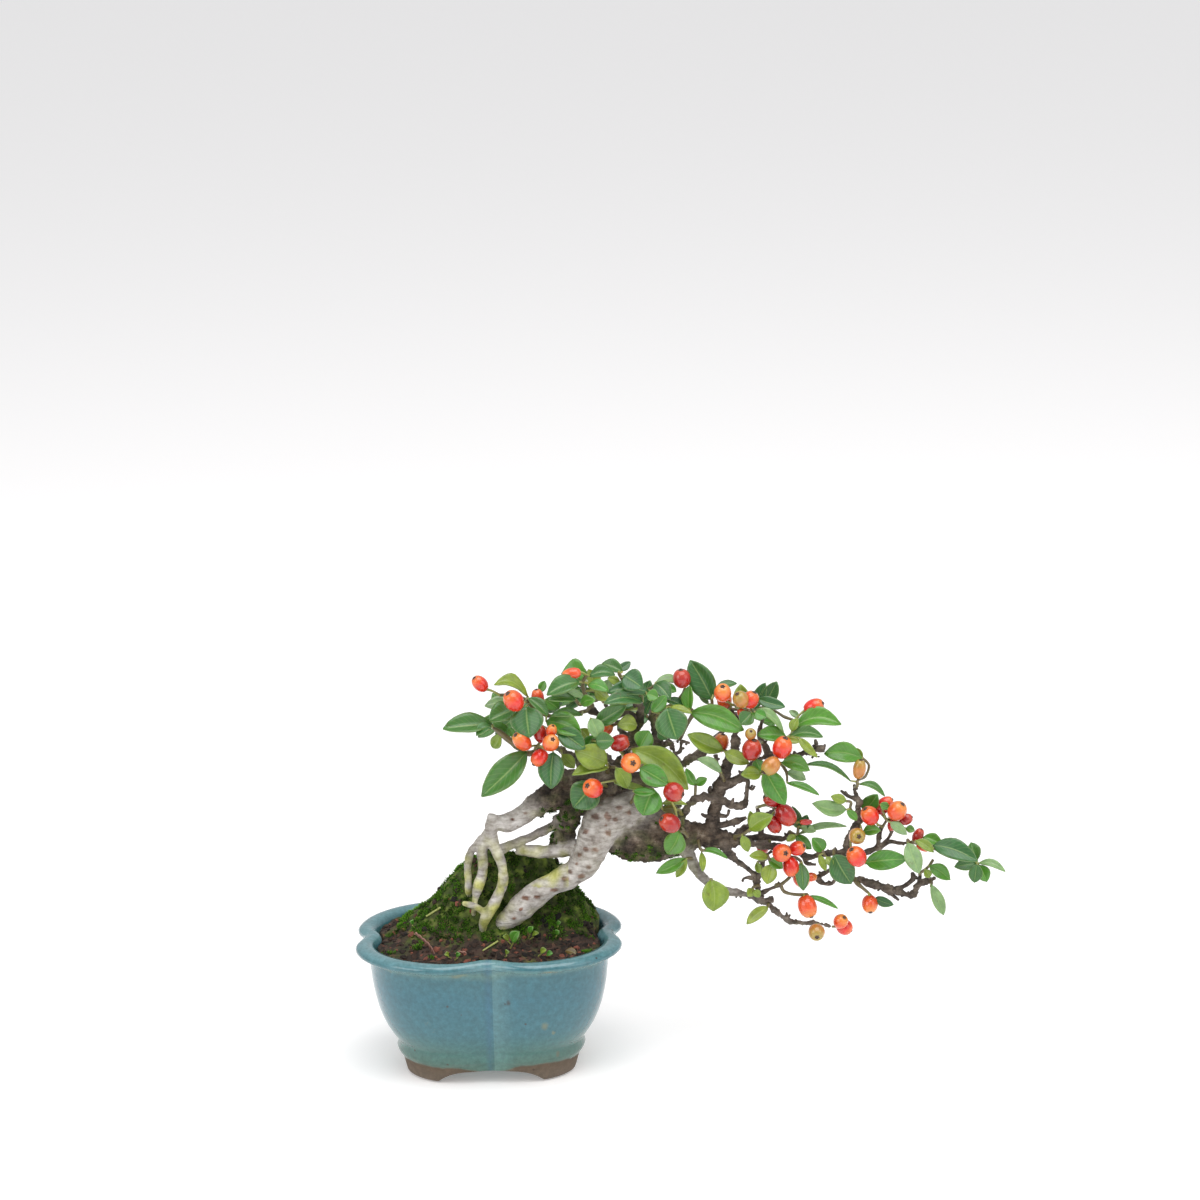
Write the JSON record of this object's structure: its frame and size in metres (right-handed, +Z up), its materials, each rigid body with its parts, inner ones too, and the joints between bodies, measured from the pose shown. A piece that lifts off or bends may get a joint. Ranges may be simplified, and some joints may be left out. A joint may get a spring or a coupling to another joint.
{
  "type": "wall cotoneaster bonsai in a pot",
  "caption": "Leaning wall cotoneaster bonsai with exposed roots, leafy sprays and orange berries, rooted in soil in a small four-lobed glazed pot that stands on corner feet.",
  "frame": {"origin": "bottom centre of the whole object's bounding box, in the plane that the pot's feet stand on", "axes": "+Z up, +X along the pot's long side towards the side that the tree leans to, -Y towards the front"},
  "size_m": [0.1922, 0.0602, 0.1229],
  "materials": {
    "glaze": "glossy teal glaze over stoneware, feet unglazed",
    "soil": "damp dark soil with green moss",
    "bark": "light grey bark with red-brown lenticels",
    "mesh": "black plastic netting",
    "wire": "copper-coloured anodised aluminium wire",
    "leaf": "glossy green leaf",
    "berry": "glossy orange-red fruit"
  },
  "bodies": {
    "root": {"pot": "glaze", "soil": "soil", "wood": "bark", "drain_mesh_left": "mesh", "drain_mesh_right": "mesh", "anchor_wire_left": "wire", "anchor_wire_right": "wire", "left_shoot": "leaf", "left_crown": "leaf", "top_left": "leaf", "top_middle": "leaf", "inner_left": "leaf", "low_left": "leaf", "middle": "leaf", "under_middle": "leaf", "top_right_tall": "leaf", "round_front": "leaf", "right_crown": "leaf", "far_crown": "leaf", "twin_stub": "leaf", "centre_right": "leaf", "hook_leaf": "leaf", "hub_leaves": "leaf", "collar_leaf": "leaf", "drop_leaves": "leaf", "lime_leaf": "leaf", "knot_leaves": "leaf", "cradle": "leaf", "low_curl": "leaf", "blade_pair": "leaf", "column_leaves": "leaf", "column_tip": "leaf", "column_right": "leaf", "big_oval": "leaf", "right_middle": "leaf", "mule_ears": "leaf", "drooping_pale": "leaf", "end_leaves": "leaf", "long_hanging": "leaf", "low_twig": "leaf", "drop_fruit": "leaf", "bunch_left": "berry", "bunch_top": "berry", "bunch_middle": "berry", "bunch_low": "berry", "bunch_centre": "berry", "bunch_top_right": "berry", "bunch_red_pair": "berry", "bunch_bright": "berry", "bunch_deep": "berry", "bunch_cradle": "berry", "bunch_tip": "berry", "bunch_end": "berry", "bunch_right_pair": "berry", "bunch_column": "berry", "bunch_right_top": "berry", "rear_left": "leaf", "rear_top": "leaf", "rear_middle": "leaf", "rear_right": "leaf"}
  },
  "joints": []
}
